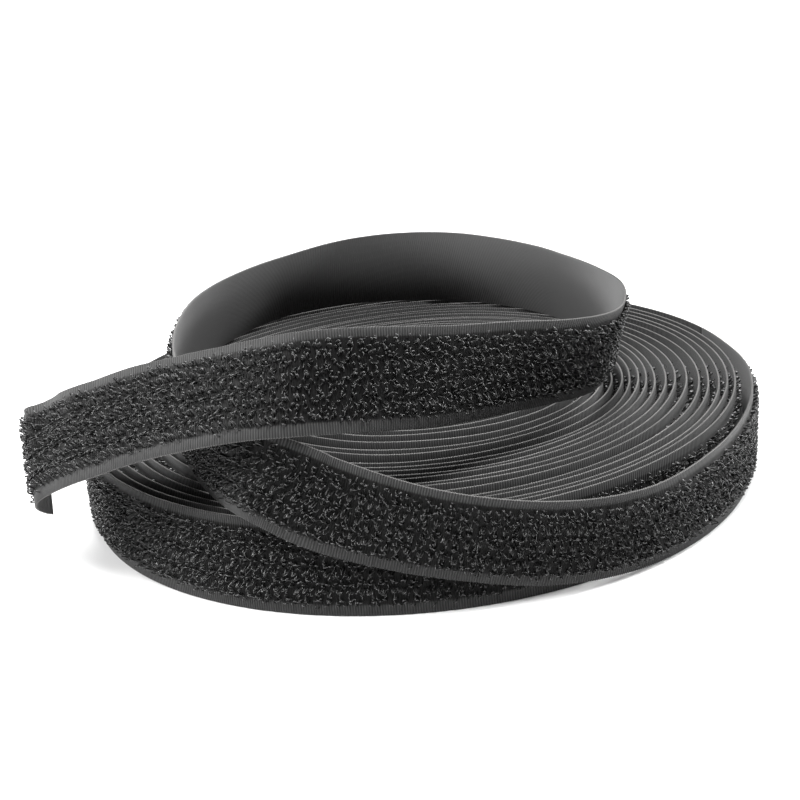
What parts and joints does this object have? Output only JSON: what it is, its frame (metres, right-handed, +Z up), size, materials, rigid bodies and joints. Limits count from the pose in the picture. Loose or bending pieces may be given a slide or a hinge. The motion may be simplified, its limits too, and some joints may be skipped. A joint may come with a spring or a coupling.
{
  "type": "hook tape roll",
  "caption": "Roll of black woven hook tape on its side, the last turn loose: it climbs over the roll, stands as a smaller loop and ends in a free, drooping end.",
  "frame": {"origin": "middle of the footprint of the whole part, on the surface it lies on", "axes": "+Z up along the roll's axis, -Y towards the side the two passes cross on, -X towards the free end"},
  "size_m": [0.1585, 0.1546, 0.0564],
  "materials": {
    "wound_tape": "woven",
    "loose_tape": "woven"
  },
  "bodies": {
    "root": {"wound_roll": "wound_tape", "loose_turn": "loose_tape"}
  },
  "joints": []
}
